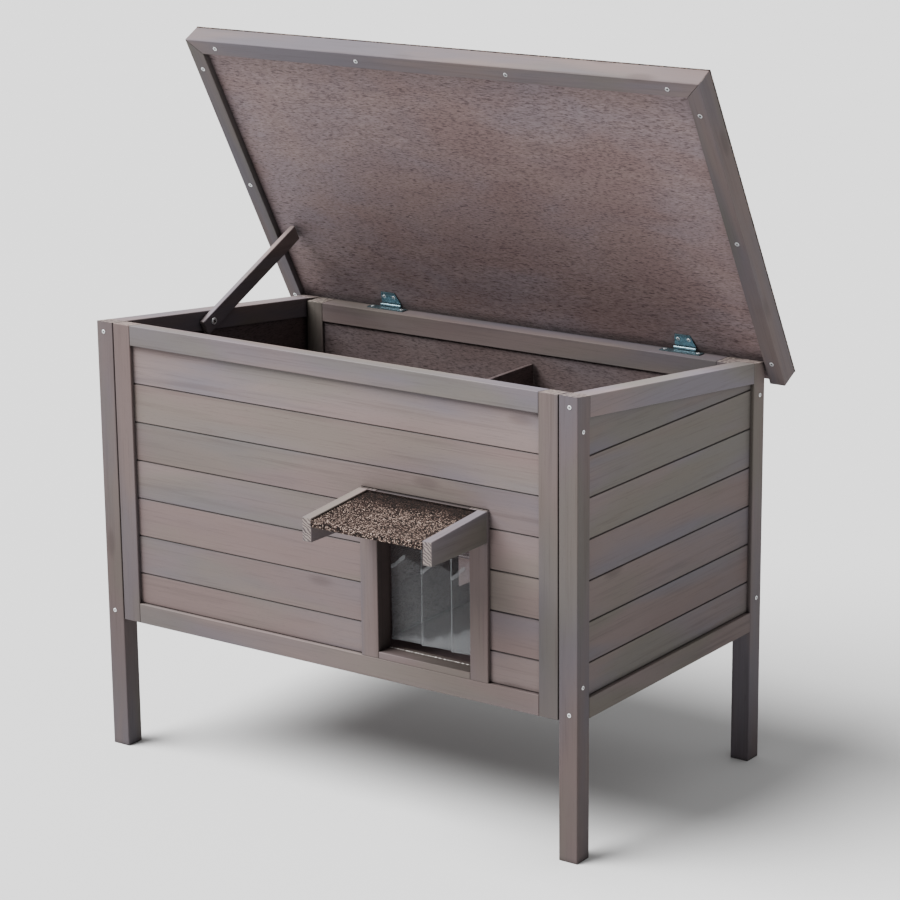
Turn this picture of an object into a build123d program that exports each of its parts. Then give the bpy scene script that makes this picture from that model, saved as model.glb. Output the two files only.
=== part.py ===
from build123d import *
import os
from math import cos, radians, sin, tan

os.makedirs("parts", exist_ok=True)

# A raised wooden nesting box: a boarded body on four legs, a lid hinged at the back and propped open
# by a stay, a doorway with a small felted awning and a strip curtain, and a partition inside.
# Millimetres. X runs along the width, -Y is the front, Z is up, and the origin is on the ground under
# the middle of the whole object with its lid propped open.

# ------------------------------------------------------------------ body and frame
body_width = 840.0
body_depth = 496.0
front_height = 658.0         # roof line at the front face
back_height = 606.0          # roof line at the back face
ground_clearance = 203.0     # from the ground to the underside of the body

leg = 30.0                   # square legs
leg_corner = 1.5             # rounding of a leg's upright edges
leg_gap = 1.5                # shadow gap between a front leg and the stile beside it
rail = 30.0                  # height of every rail
front_stile = 31.0
back_stile = 30.0
front_frame_depth = 30.0
side_frame_depth = 28.0
back_frame_depth = 36.0
edge_break = 0.8             # the small chamfer on sawn boards

# ------------------------------------------------------------------ boards and linings
board_rows = 7               # rows of boards in the front wall
bottom_board = 47.0          # the lowest row is ripped narrower
board_thickness = 10.0
board_recess = 6.0           # from the outer face of the frame
board_gap = 0.4
upright_edge = 0.5           # an edge that rises by more than this share of its length counts as upright
board_groove = 1.2           # chamfer that makes the V between two boards
narrowest_board = 20.0       # a narrower strip is cut in one with the board below it
lining_thickness = 4.0
lining_recess = 4.0          # from the inner face of the frame

# ------------------------------------------------------------------ floor and partition
floor_thickness = 6.0
floor_drop = 2.0             # floor surface below the top of the bottom rails
floor_gap = 0.5
bearer = 20.0
bearer_count = 3
bearer_spacing = 300.0
partition_x = 39.0
partition_thickness = 6.0
partition_height = 329.0
passage_width = 150.0
passage_height = 200.0
passage_step = 30.0          # floor to the bottom of the passage
passage_to_back = 50.0       # passage to the inner face of the back frame

# ------------------------------------------------------------------ doorway, awning and curtain
door_x = 165.5
door_width = 157.0
door_post = 30.0
door_height = 191.0          # from the sill to the head
door_head_height = 45.0
sill_height = 10.0
sill_nosing = 6.0            # how far the sill stands into the room

cheek_thickness = 15.5
cheek_reach = 128.0
cheek_fall = 11.0            # drop of a cheek's top edge from the wall to its front end
awning_recess = 3.0          # felt surface below the cheeks' top edges
deck_thickness = 5.0
felt_thickness = 2.0
felt_turn_down = 8.0         # the felt folds down over the deck's front edge

strip_count = 3
strip_thickness = 2.0
strip_gap = 0.8
strip_side_clearance = 2.0
strip_top_clearance = 1.5    # under the door head
strip_floor_clearance = 11.0  # over the sill
batten_depth = 12.0
batten_height = 22.0
batten_lap = 10.0            # the batten runs this far onto each post
strip_inset = 3.0            # middle of a strip behind the head's inner face

# ------------------------------------------------------------------ lid
lid_lean = 28.5              # propped open: degrees forward of upright
lid_back = 40.0              # lid behind the hinge line
lid_side_clearance = 3.0     # between the body's side and a rim
rim_width = 25.0
rim_height = 32.0
rim_drop = 10.0              # rims hang below the lid's inner panel
panel_thickness = 4.0
lid_board_thickness = 4.0

# ------------------------------------------------------------------ hinges, stay and screws
hinge_places = (-248.0, 288.0)
hinge_inset = 3.0            # hinge line in front of the back face
knuckle_radius = 3.0
knuckle_clearance = 0.4
pin_radius = 1.5
pin_bore = 0.02              # radial clearance in the fixed knuckles
pin_running_fit = 0.06       # radial clearance in the turning knuckle
pin_head_radius = 2.4
pin_head_height = 1.0
hinge_width = 36.0           # over all the knuckles
lid_knuckle = 17.6           # length of the middle knuckle
leaf_thickness = 1.5
base_leaf_width = 68.0
base_leaf_depth = 18.0       # from the hinge line
lid_leaf_depth = 24.0
lid_leaf_tip_width = 26.0
leaf_clearance = 0.6         # from the knuckles to the edge of a leaf

stay_from_front = 221.0
stay_angle = 26.0            # degrees above level
stay_width = 25.0
stay_thickness = 9.0
stay_foot = 20.0             # beyond the pivot
stay_lid_clearance = 4.7
stay_rail_clearance = 0.5
stay_head_clearance = 0.3
stay_running_fit = 0.06
pivot_radius = 2.5
pivot_head_radius = 5.5
pivot_head_height = 2.0
pivot_depth = 14.0

screw_radius = 1.7
screw_head_radius = 3.0
screw_head_height = 0.6
frame_screw_length = 55.0
lid_screw_length = 28.0
lid_screw_head_height = 0.3
front_rim_screws = (-395.0, -131.0, 131.0, 395.0)
side_rim_screws = (0.0, 220.0, 440.0)  # from the hinge line
hinge_screw_radius = 1.25
hinge_screw_hole = 1.5
hinge_screw_head_radius = 2.8
hinge_screw_head_height = 0.8
house_screw_length = 14.0
lid_leaf_screw_depth = 3.5   # into the lid's panel
base_screw_place = 28.0      # either side of a hinge's middle
lid_leaf_screw_place = 9.0
lid_leaf_screw_along = 16.0
front_screw_side = 13.0      # from the body's side to a screw in the end of a side rail
front_screw_below = 15.0     # below the roof line
low_screw_height = 11.0      # above the underside of the body
side_screw_inset = 13.5      # from the front or back face to a screw in the side of a leg
side_screw_below = 48.0
low_side_screw_height = 49.0

# ------------------------------------------------------------------ places worked out from the above
half_width = body_width / 2
lean = radians(lid_lean)
felt_on_lid = felt_thickness
panel_under = -(knuckle_radius + knuckle_clearance)
rim_under = panel_under + rim_drop
lid_board_under = rim_under - rim_height + lid_board_thickness
lid_outer = rim_height - rim_under + felt_on_lid
hinge_from_front = body_depth - hinge_inset
awning_reach = cheek_reach + felt_thickness
rearmost = hinge_from_front + lid_back * sin(lean) + lid_outer * cos(lean)

front_y = -(rearmost - awning_reach) / 2
back_y = front_y + body_depth
slope = (front_height - back_height) / body_depth

front_inner_y = front_y + front_frame_depth
back_inner_y = back_y - back_frame_depth
side_inner_x = half_width - side_frame_depth
leg_inner_x = half_width - leg
stile_outer_x = leg_inner_x - leg_gap
stile_inner_x = stile_outer_x - front_stile
back_stile_inner_x = leg_inner_x - back_stile
side_front_y = front_y + leg
side_back_y = back_y - leg

wall_bottom = ground_clearance + rail
wall_top = front_height - rail
back_wall_top = back_height - rail
board_pitch = (wall_top - wall_bottom - bottom_board) / (board_rows - 1)
joints = [wall_top - board_pitch * (row + 1) for row in range(board_rows - 1)]

floor_top = wall_bottom - floor_drop
floor_under = floor_top - floor_thickness

door_left = door_x - door_width / 2
door_right = door_x + door_width / 2
frame_left = door_left - door_post
frame_right = door_right + door_post
door_sill_top = wall_bottom + sill_height
door_top = door_sill_top + door_height
door_frame_top = door_top + door_head_height

hinge_y = front_y + hinge_from_front
hinge_z = back_height + knuckle_radius + knuckle_clearance
lid_front = hinge_from_front
lid_side_x = half_width + lid_side_clearance
lid_half_width = lid_side_x + rim_width
lid_rim_front = lid_front - rim_width
lid_plane = Plane(origin=(0, hinge_y, hinge_z), x_dir=(1, 0, 0), z_dir=(0, -cos(lean), -sin(lean)))


def roof(y):
    """Height of the roof line above the ground at a given y."""
    return front_height - slope * (y - front_y)


def under_roof(y):
    """Height of the underside of a side's top rail at a given y."""
    return roof(y) - rail


# ------------------------------------------------------------------ ways of making a piece
def keep(piece, label):
    """Name a finished piece and write it to its own file."""
    piece.part.label = label
    export_step(piece.part, f"parts/{label}.step")


def block(label, x, y, z, broken_edges=edge_break):
    """A squared board between two places in x, in y and in z."""
    with BuildPart() as piece:
        with BuildSketch(Plane.XY.offset(z[0])):
            with Locations(((x[0] + x[1]) / 2, (y[0] + y[1]) / 2)):
                Rectangle(x[1] - x[0], y[1] - y[0])
        extrude(amount=z[1] - z[0])
        if broken_edges:
            chamfer(piece.edges(), broken_edges)
    keep(piece, label)


def side_cut(label, outline, x, broken_edges=edge_break):
    """A board whose outline is drawn in y and z, between two places in x."""
    with BuildPart() as piece:
        with BuildSketch(Plane.YZ.offset(x[0])):
            with BuildLine():
                Polyline(*outline, close=True)
            make_face()
        extrude(amount=x[1] - x[0])
        if broken_edges:
            chamfer(piece.edges(), broken_edges)
    keep(piece, label)


def lid_piece(label, outline, under, thickness, broken_edges=edge_break):
    """A flat piece of the lid, its outline drawn in x and along the lid from the hinge line."""
    with BuildPart() as piece:
        with BuildSketch(lid_plane.offset(under)):
            with BuildLine():
                Polyline(*outline, close=True)
            make_face()
        extrude(amount=-thickness)
        if broken_edges:
            chamfer(piece.edges(), broken_edges)
    keep(piece, label)


def between(left, right):
    """The two places, lower one first."""
    return (min(left, right), max(left, right))


def board_edges(top):
    """Heights of the joints in a wall that ends at top, from the top down."""
    return [top] + [joint for joint in joints if joint < top - narrowest_board] + [wall_bottom]


def screw(place, direction, length, radius, head_radius, head_height):
    """A screw whose head sits on a surface at place, its shank running along direction."""
    with BuildSketch(Plane(origin=place, z_dir=direction)) as shank:
        Circle(radius)
    extrude(shank.sketch, amount=length)
    with BuildSketch(Plane(origin=place, z_dir=direction)) as head:
        Circle(head_radius)
    extrude(head.sketch, amount=-head_height)


# ------------------------------------------------------------------ legs
def make_leg(label, side, y):
    """A leg, its top cut on the slope of the roof."""
    x = between(side * leg_inner_x, side * half_width)
    with BuildPart() as piece:
        with BuildSketch(Plane.YZ.offset(x[0])):
            with BuildLine():
                Polyline((y[0], 0), (y[1], 0), (y[1], roof(y[1])), (y[0], roof(y[0])), close=True)
            make_face()
        extrude(amount=leg)
        fillet(piece.edges().filter_by(Axis.Z), leg_corner)
        chamfer(piece.faces().sort_by(Axis.Z)[0].edges(), edge_break)
    keep(piece, label)


for name, side in (("left", -1), ("right", 1)):
    make_leg(f"leg_front_{name}", side, (front_y, front_y + leg))
    make_leg(f"leg_back_{name}", side, (back_y - leg, back_y))

# ------------------------------------------------------------------ front frame
front_face = (front_y, front_inner_y)
for name, side in (("left", -1), ("right", 1)):
    stile_top = [(front_inner_y, roof(front_inner_y)), (front_y, roof(front_y))]
    stile_foot = [(front_y, ground_clearance), (front_inner_y, ground_clearance)]
    stile_x = between(side * stile_inner_x, side * stile_outer_x)
    side_cut(f"front_stile_{name}", stile_foot + stile_top, stile_x)

rail_line = [(front_y, wall_top), (front_inner_y, wall_top), (front_inner_y, roof(front_inner_y)),
             (front_y, front_height)]
side_cut("front_top_rail", rail_line, (-stile_inner_x, stile_inner_x))
block("front_bottom_rail", (-stile_inner_x, stile_inner_x), front_face, (ground_clearance, wall_bottom))

# ------------------------------------------------------------------ side frames
for name, side in (("left", -1), ("right", 1)):
    side_x = between(side * side_inner_x, side * half_width)
    top_rail = [(side_front_y, under_roof(side_front_y)), (side_back_y, under_roof(side_back_y)),
                (side_back_y, roof(side_back_y)), (side_front_y, roof(side_front_y))]
    side_cut(f"{name}_top_rail", top_rail, side_x)
    block(f"{name}_bottom_rail", side_x, (side_front_y, side_back_y), (ground_clearance, wall_bottom))

# ------------------------------------------------------------------ back frame
back_face = (back_inner_y, back_y)
back_rail_x = (-back_stile_inner_x, back_stile_inner_x)
block("back_top_rail", back_rail_x, back_face, (back_wall_top, back_height))
block("back_bottom_rail", back_rail_x, back_face, (ground_clearance, wall_bottom))

with BuildPart() as back_stiles:
    with BuildSketch(Plane.XY.offset(ground_clearance)):
        for side in (-1, 1):
            with Locations((side * (leg_inner_x - back_stile / 2), back_inner_y + back_frame_depth / 2)):
                Rectangle(back_stile, back_frame_depth)
    extrude(amount=back_height - ground_clearance)
    chamfer(back_stiles.edges(), edge_break)
keep(back_stiles, "back_stiles")


# ------------------------------------------------------------------ boarded walls
def upright_wall(y, facing):
    """A plane on the inner face of the boards, looking out of the wall, with x kept along X."""
    return Plane(origin=(0, y, 0), x_dir=(-facing, 0, 0), z_dir=(0, facing, 0))


def bounded(low, high, half_length):
    """One board's outline between two joints."""
    with Locations((0, (low + high) / 2)):
        Rectangle(2 * half_length, high - low - board_gap)


def door_zone(facing):
    """The doorway with its posts and head, taken out of a front wall's sheet."""
    with Locations((-facing * (frame_left + frame_right) / 2, (wall_bottom + door_frame_top) / 2)):
        Rectangle(frame_right - frame_left, door_frame_top - wall_bottom, mode=Mode.SUBTRACT)


front_board_y = front_y + board_recess + board_thickness
front_joints = board_edges(wall_top)
for row in range(board_rows):
    with BuildPart() as board:
        with BuildSketch(upright_wall(front_board_y, -1)):
            bounded(front_joints[row + 1], front_joints[row], stile_inner_x)
            door_zone(-1)
        extrude(amount=board_thickness)
        chamfer(board.edges().filter_by(Axis.X).group_by(Axis.Y)[0], board_groove)
    keep(board, f"front_plank_{row + 1}")

back_board_y = back_y - board_recess - board_thickness
back_joints = board_edges(back_wall_top)
with BuildPart() as back_planks:
    with BuildSketch(upright_wall(back_board_y, 1)):
        for high, low in zip(back_joints, back_joints[1:]):
            bounded(low, high, back_stile_inner_x)
    extrude(amount=board_thickness)
    chamfer(back_planks.edges().filter_by(Axis.X).group_by(Axis.Y)[-1], board_groove)
keep(back_planks, "back_planks")


def side_sheet(low, high):
    """The outline of a side wall between two heights, cut on the slope where it meets the top rail."""
    front_top = min(high, under_roof(side_front_y))
    back_top = min(high, under_roof(side_back_y))
    Polygon((side_front_y, low), (side_back_y, low), (side_back_y, back_top), (side_front_y, front_top),
            align=None)


side_joints = board_edges(under_roof(side_front_y))
for name, side in (("left", -1), ("right", 1)):
    outer_x = half_width - board_recess
    with BuildPart() as side_planks:
        with BuildSketch(Plane.YZ.offset(min(side * outer_x, side * (outer_x - board_thickness)))):
            for high, low in zip(side_joints, side_joints[1:]):
                side_sheet(low, high - board_gap)
        extrude(amount=board_thickness)
        outer_edges = side_planks.edges().group_by(Axis.X)[0 if side < 0 else -1]
        level_edges = outer_edges.filter_by(lambda edge: abs(edge.tangent_at(0).Z) < upright_edge)
        chamfer(level_edges, board_groove)
    keep(side_planks, f"{name}_planks")

# ------------------------------------------------------------------ linings
with BuildPart() as front_lining:
    with BuildSketch(upright_wall(front_inner_y - lining_recess, -1)):
        with Locations((0, (wall_bottom + wall_top) / 2)):
            Rectangle(2 * stile_inner_x, wall_top - wall_bottom)
        door_zone(-1)
    extrude(amount=lining_thickness)
keep(front_lining, "front_lining")

back_lining_y = back_inner_y + lining_recess
block("back_lining", back_rail_x, (back_lining_y, back_lining_y + lining_thickness),
      (wall_bottom, back_wall_top), broken_edges=0.0)

for name, side in (("left", -1), ("right", 1)):
    lining_x = side_inner_x + lining_recess
    with BuildPart() as side_lining:
        with BuildSketch(Plane.YZ.offset(min(side * lining_x, side * (lining_x + lining_thickness)))):
            side_sheet(wall_bottom, wall_top)
        extrude(amount=lining_thickness)
    keep(side_lining, f"{name}_lining")

# ------------------------------------------------------------------ floor and partition
room_x = (-side_inner_x + floor_gap, side_inner_x - floor_gap)
room_front = front_y + max(front_frame_depth, leg)
room_back = back_y - max(back_frame_depth, leg)
room_y = (room_front + floor_gap, room_back - floor_gap)
block("floor_panel", room_x, room_y, (floor_under, floor_top), broken_edges=0.0)

with BuildPart() as floor_bearers:
    with BuildSketch(Plane.XY.offset(floor_under - bearer)):
        with Locations((0, (front_inner_y + back_inner_y) / 2)):
            with GridLocations(bearer_spacing, 0, bearer_count, 1):
                Rectangle(bearer, back_inner_y - front_inner_y)
    extrude(amount=bearer)
keep(floor_bearers, "floor_bearers")

with BuildPart() as partition:
    with BuildSketch(Plane.YZ.offset(partition_x - partition_thickness / 2)):
        with BuildLine():
            Polyline((front_inner_y, floor_top), (back_inner_y, floor_top),
                     (back_inner_y, floor_top + partition_height),
                     (front_inner_y, floor_top + partition_height), close=True)
        make_face()
        arch_radius = passage_width / 2
        passage_y = back_inner_y - passage_to_back - arch_radius
        passage_bottom = floor_top + passage_step
        arch_z = passage_bottom + passage_height - arch_radius
        with Locations((passage_y, (passage_bottom + arch_z) / 2)):
            Rectangle(passage_width, arch_z - passage_bottom, mode=Mode.SUBTRACT)
        with Locations((passage_y, arch_z)):
            Circle(arch_radius, mode=Mode.SUBTRACT)
    extrude(amount=partition_thickness)
keep(partition, "partition")

# ------------------------------------------------------------------ doorway
block("door_post_left", (frame_left, door_left), front_face, (wall_bottom, door_frame_top))
block("door_post_right", (door_right, frame_right), front_face, (wall_bottom, door_frame_top))
block("door_head", (door_left, door_right), front_face, (door_top, door_frame_top))
block("door_sill", (door_left, door_right), (front_y, front_inner_y + sill_nosing),
      (wall_bottom, door_sill_top))
block("curtain_batten", (door_left - batten_lap, door_right + batten_lap),
      (front_inner_y, front_inner_y + batten_depth), (door_top, door_top + batten_height))

strip_y = front_inner_y + strip_inset
strip_span = door_width - 2 * strip_side_clearance
strip_width = (strip_span - (strip_count - 1) * strip_gap) / strip_count
for place, name in enumerate(("left", "middle", "right")):
    strip_left = door_left + strip_side_clearance + place * (strip_width + strip_gap)
    block(f"curtain_strip_{name}", (strip_left, strip_left + strip_width),
          (strip_y - strip_thickness / 2, strip_y + strip_thickness / 2),
          (door_sill_top + strip_floor_clearance, door_top - strip_top_clearance), broken_edges=0.0)


# ------------------------------------------------------------------ awning
def cheek_top(out):
    """Height of a cheek's top edge at a distance out from the wall."""
    return door_frame_top - cheek_fall * out / cheek_reach


def awning_layer(label, depth_in, thickness, turn_down=0.0):
    """A layer of the awning's roof between the cheeks, its top depth_in below their top edges."""
    top = [(front_y, cheek_top(0) - depth_in)]
    under = [(front_y - cheek_reach, cheek_top(cheek_reach) - depth_in - thickness),
             (front_y, cheek_top(0) - depth_in - thickness)]
    front = [(front_y - cheek_reach, cheek_top(cheek_reach) - depth_in)]
    if turn_down:
        nose = cheek_reach + thickness
        nose_top = cheek_top(nose) - depth_in
        front = [(front_y - nose, nose_top), (front_y - nose, nose_top - turn_down),
                 (front_y - cheek_reach, nose_top - turn_down)]
    inner_left = frame_left + cheek_thickness
    inner_right = frame_right - cheek_thickness
    side_cut(label, top + front + under, (inner_left, inner_right), broken_edges=0.0)


cheek_line = [(front_y, door_top), (front_y - cheek_reach, door_top),
              (front_y - cheek_reach, cheek_top(cheek_reach)), (front_y, door_frame_top)]
side_cut("awning_cheek_left", cheek_line, (frame_left, frame_left + cheek_thickness))
side_cut("awning_cheek_right", cheek_line, (frame_right - cheek_thickness, frame_right))
awning_layer("awning_felt", awning_recess, felt_thickness, felt_turn_down)
awning_layer("awning_deck", awning_recess + felt_thickness, deck_thickness)

# ------------------------------------------------------------------ lid
lid_piece("lid_front_rim", [(-lid_half_width, lid_front), (lid_half_width, lid_front),
                            (lid_side_x, lid_rim_front), (-lid_side_x, lid_rim_front)], rim_under, rim_height)
for name, side in (("left", -1), ("right", 1)):
    lid_piece(f"lid_{name}_rim", [(side * lid_side_x, -lid_back), (side * lid_half_width, -lid_back),
                                  (side * lid_half_width, lid_front), (side * lid_side_x, lid_rim_front)],
              rim_under, rim_height)


def lid_sheet(label, half, along, under, thickness, broken_edges=0.0):
    """A rectangle of the lid, half wide to each side, between two places along it."""
    outline = [(-half, along[0]), (half, along[0]), (half, along[1]), (-half, along[1])]
    lid_piece(label, outline, under, thickness, broken_edges)


panel_outer = panel_under - panel_thickness
lid_sheet("lid_panel", lid_side_x, (-lid_back, lid_rim_front), panel_under, panel_thickness)
lid_sheet("lid_back_rim", lid_side_x, (-lid_back, rim_width - lid_back), panel_outer,
          panel_outer - lid_board_under, edge_break)
lid_sheet("lid_board", lid_side_x, (-lid_back, lid_rim_front), lid_board_under, lid_board_thickness)
lid_sheet("lid_felt", lid_half_width, (-lid_back, lid_front), rim_under - rim_height, felt_on_lid)

# ------------------------------------------------------------------ hinges
base_knuckle_start = lid_knuckle / 2 + knuckle_clearance
base_leaf_edge = knuckle_radius + leaf_clearance
base_screw_y = hinge_y - (base_leaf_depth + base_leaf_edge) / 2


def turned(x, plane_y, plane_z, radius, mode=Mode.ADD):
    """A round bar or hole along X between two places."""
    with BuildSketch(Plane(origin=(x[0], plane_y, plane_z), z_dir=(1, 0, 0))) as end:
        Circle(radius)
    extrude(end.sketch, amount=x[1] - x[0], mode=mode)


with BuildPart() as hinge_base_leaves:
    with BuildSketch(Plane.XY.offset(back_height)):
        for middle in hinge_places:
            with Locations((middle, base_screw_y)):
                Rectangle(base_leaf_width, base_leaf_depth - base_leaf_edge)
            for side in (-1, 1):
                knuckle_middle = side * (base_knuckle_start + hinge_width / 2) / 2
                with Locations((middle + knuckle_middle, hinge_y - base_leaf_depth / 2)):
                    Rectangle(hinge_width / 2 - base_knuckle_start, base_leaf_depth)
            with Locations(*[(middle + side * base_screw_place, base_screw_y) for side in (-1, 1)]):
                Circle(hinge_screw_hole, mode=Mode.SUBTRACT)
    extrude(amount=leaf_thickness)
    for middle in hinge_places:
        for side in (-1, 1):
            ends = between(middle + side * base_knuckle_start, middle + side * hinge_width / 2)
            turned(ends, hinge_y, hinge_z, knuckle_radius)
    for middle in hinge_places:
        bore = (middle - hinge_width, middle + hinge_width)
        turned(bore, hinge_y, hinge_z, pin_radius + pin_bore, Mode.SUBTRACT)
keep(hinge_base_leaves, "hinge_base_leaves")

with BuildPart() as hinge_lid_leaves:
    with BuildSketch(lid_plane.offset(panel_under + leaf_thickness)):
        for middle in hinge_places:
            with BuildLine():
                Polyline((middle - hinge_width / 2, base_leaf_edge),
                         (middle + hinge_width / 2, base_leaf_edge),
                         (middle + lid_leaf_tip_width / 2, lid_leaf_depth),
                         (middle - lid_leaf_tip_width / 2, lid_leaf_depth), close=True)
            make_face()
            with Locations((middle, base_leaf_edge / 2)):
                Rectangle(lid_knuckle, base_leaf_edge)
            leaf_screws = [(middle + side * lid_leaf_screw_place, lid_leaf_screw_along) for side in (-1, 1)]
            with Locations(*leaf_screws):
                Circle(hinge_screw_hole, mode=Mode.SUBTRACT)
    extrude(amount=-leaf_thickness)
    for middle in hinge_places:
        turned((middle - lid_knuckle / 2, middle + lid_knuckle / 2), hinge_y, hinge_z, knuckle_radius)
    for middle in hinge_places:
        bore = (middle - lid_knuckle, middle + lid_knuckle)
        turned(bore, hinge_y, hinge_z, pin_radius + pin_running_fit, Mode.SUBTRACT)
keep(hinge_lid_leaves, "hinge_lid_leaves")

with BuildPart() as hinge_pins:
    for middle in hinge_places:
        turned((middle - hinge_width / 2, middle + hinge_width / 2), hinge_y, hinge_z, pin_radius)
        for side in (-1, 1):
            head_start = middle + side * hinge_width / 2
            head = between(head_start, head_start + side * pin_head_height)
            turned(head, hinge_y, hinge_z, pin_head_radius)
keep(hinge_pins, "hinge_pins")

with BuildPart() as hinge_screws_house:
    for middle in hinge_places:
        for side in (-1, 1):
            place = (middle + side * base_screw_place, base_screw_y, back_height + leaf_thickness)
            screw(place, (0, 0, -1), house_screw_length, hinge_screw_radius, hinge_screw_head_radius,
                  hinge_screw_head_height)
keep(hinge_screws_house, "hinge_screws_house")

with BuildPart() as hinge_screws_lid:
    for middle in hinge_places:
        for side in (-1, 1):
            leaf_face = lid_plane.offset(panel_under + leaf_thickness)
            screw_middle = (middle + side * lid_leaf_screw_place, lid_leaf_screw_along, 0)
            place = leaf_face.from_local_coords(screw_middle)
            screw(place, -leaf_face.z_dir, leaf_thickness + lid_leaf_screw_depth,
                  hinge_screw_radius, hinge_screw_head_radius, hinge_screw_head_height)
keep(hinge_screws_lid, "hinge_screws_lid")

# ------------------------------------------------------------------ stay
stay_y = front_y + stay_from_front
stay_z = roof(stay_y) - rail / 2
stay_x = -side_inner_x + stay_rail_clearance
stay_turn = radians(stay_angle)
stay_direction = (0, cos(stay_turn), sin(stay_turn))
stay_plane = Plane(origin=(stay_x, stay_y, stay_z), x_dir=stay_direction, z_dir=(1, 0, 0))

# The stay's head is cut parallel to the lid's panel and stops just short of it.
panel_normal = (cos(lean), sin(lean))
pivot_to_panel = (hinge_y - stay_y) * panel_normal[0] + (hinge_z - stay_z) * panel_normal[1] - panel_under
closing_rate = cos(stay_turn) * panel_normal[0] + sin(stay_turn) * panel_normal[1]
stay_reach = (pivot_to_panel - stay_lid_clearance) / closing_rate
head_slant = tan(radians(stay_angle - lid_lean)) * stay_width / 2

with BuildPart() as lid_stay:
    with BuildSketch(stay_plane):
        with BuildLine():
            Polyline((-stay_foot, -stay_width / 2), (stay_reach - head_slant, -stay_width / 2),
                     (stay_reach + head_slant, stay_width / 2), (-stay_foot, stay_width / 2), close=True)
        make_face()
        Circle(pivot_radius + stay_running_fit, mode=Mode.SUBTRACT)
    extrude(amount=stay_thickness)
    chamfer(lid_stay.edges().filter_by(GeomType.LINE), edge_break)
keep(lid_stay, "lid_stay")

with BuildPart() as stay_pivot_screw:
    head_x = stay_x + stay_thickness + stay_head_clearance
    turned((-side_inner_x - pivot_depth, head_x), stay_y, stay_z, pivot_radius)
    turned((head_x, head_x + pivot_head_height), stay_y, stay_z, pivot_head_radius)
keep(stay_pivot_screw, "stay_pivot_screw")

# ------------------------------------------------------------------ screws in the frame and in the lid's rims
screw_x = half_width - front_screw_side
frame_screw_places = []
for side in (-1, 1):
    low = ground_clearance + low_screw_height
    for y, direction in ((front_y, (0, 1, 0)), (back_y, (0, -1, 0))):
        frame_screw_places.append(((side * screw_x, y, roof(y) - front_screw_below), direction))
        frame_screw_places.append(((side * screw_x, y, low), direction))
    low = ground_clearance + low_side_screw_height
    for y in (front_y + side_screw_inset, back_y - side_screw_inset):
        frame_screw_places.append(((side * half_width, y, roof(y) - side_screw_below), (-side, 0, 0)))
        frame_screw_places.append(((side * half_width, y, low), (-side, 0, 0)))

with BuildPart() as frame_screws:
    for place, direction in frame_screw_places:
        screw(place, direction, frame_screw_length, screw_radius, screw_head_radius, screw_head_height)
keep(frame_screws, "frame_screws")

rim_middle = lid_half_width - rim_width / 2
front_rim_middle = lid_front - rim_width / 2
lid_screw_places = [(x, front_rim_middle) for x in front_rim_screws]
lid_screw_places += [(side * rim_middle, along) for side in (-1, 1) for along in side_rim_screws]
with BuildPart() as lid_screws:
    for x, along in lid_screw_places:
        place = lid_plane.offset(rim_under).from_local_coords((x, along, 0))
        screw(place, -lid_plane.z_dir, lid_screw_length, screw_radius, screw_head_radius,
              lid_screw_head_height)
keep(lid_screws, "lid_screws")
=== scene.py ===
import math
import random

import bmesh
import bpy
import numpy as np
from mathutils import Matrix, Vector


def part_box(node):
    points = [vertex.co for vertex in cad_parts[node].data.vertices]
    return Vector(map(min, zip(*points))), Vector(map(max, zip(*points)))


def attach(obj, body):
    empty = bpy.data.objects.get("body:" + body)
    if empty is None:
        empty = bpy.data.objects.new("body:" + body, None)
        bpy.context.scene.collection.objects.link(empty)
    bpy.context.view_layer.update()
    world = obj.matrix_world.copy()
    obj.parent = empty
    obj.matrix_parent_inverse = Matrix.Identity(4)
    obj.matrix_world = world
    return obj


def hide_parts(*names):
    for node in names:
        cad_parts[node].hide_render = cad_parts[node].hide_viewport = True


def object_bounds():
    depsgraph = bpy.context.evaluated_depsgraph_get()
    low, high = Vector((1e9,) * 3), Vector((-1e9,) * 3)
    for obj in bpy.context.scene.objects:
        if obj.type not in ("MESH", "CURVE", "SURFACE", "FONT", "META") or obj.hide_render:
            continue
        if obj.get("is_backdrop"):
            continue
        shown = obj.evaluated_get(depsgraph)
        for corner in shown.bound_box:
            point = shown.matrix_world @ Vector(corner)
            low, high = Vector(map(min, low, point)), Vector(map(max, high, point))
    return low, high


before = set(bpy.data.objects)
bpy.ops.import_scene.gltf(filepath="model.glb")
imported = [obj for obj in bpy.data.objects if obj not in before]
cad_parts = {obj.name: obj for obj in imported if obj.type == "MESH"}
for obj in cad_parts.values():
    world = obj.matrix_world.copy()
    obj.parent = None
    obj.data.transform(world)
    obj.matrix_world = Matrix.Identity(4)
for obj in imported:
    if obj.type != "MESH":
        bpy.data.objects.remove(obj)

bl_info = {
    "name": "Raised nesting box",
    "version": (1, 0, 0),
    "blender": (4, 5, 0),
    "location": "View3D > Sidebar > Nesting Box",
    "description": "Stained boards, felt, strip curtain and fittings for a raised nesting box",
    "category": "Object",
}

MM = 0.001


# ------------------------------------------------------------------ settings a user would change
def tint(name, description, red, green, blue):
    """A colour setting, given as the eye sees it from 0 to 255."""
    return bpy.props.FloatVectorProperty(
        name=name, description=description, subtype="COLOR", size=3, min=0.0, max=1.0,
        default=[linear(part) for part in (red, green, blue)])


def linear(part):
    """A display value from 0 to 255 as linear light."""
    value = part / 255
    return value / 12.92 if value <= 0.04045 else ((value + 0.055) / 1.055) ** 2.4


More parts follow.
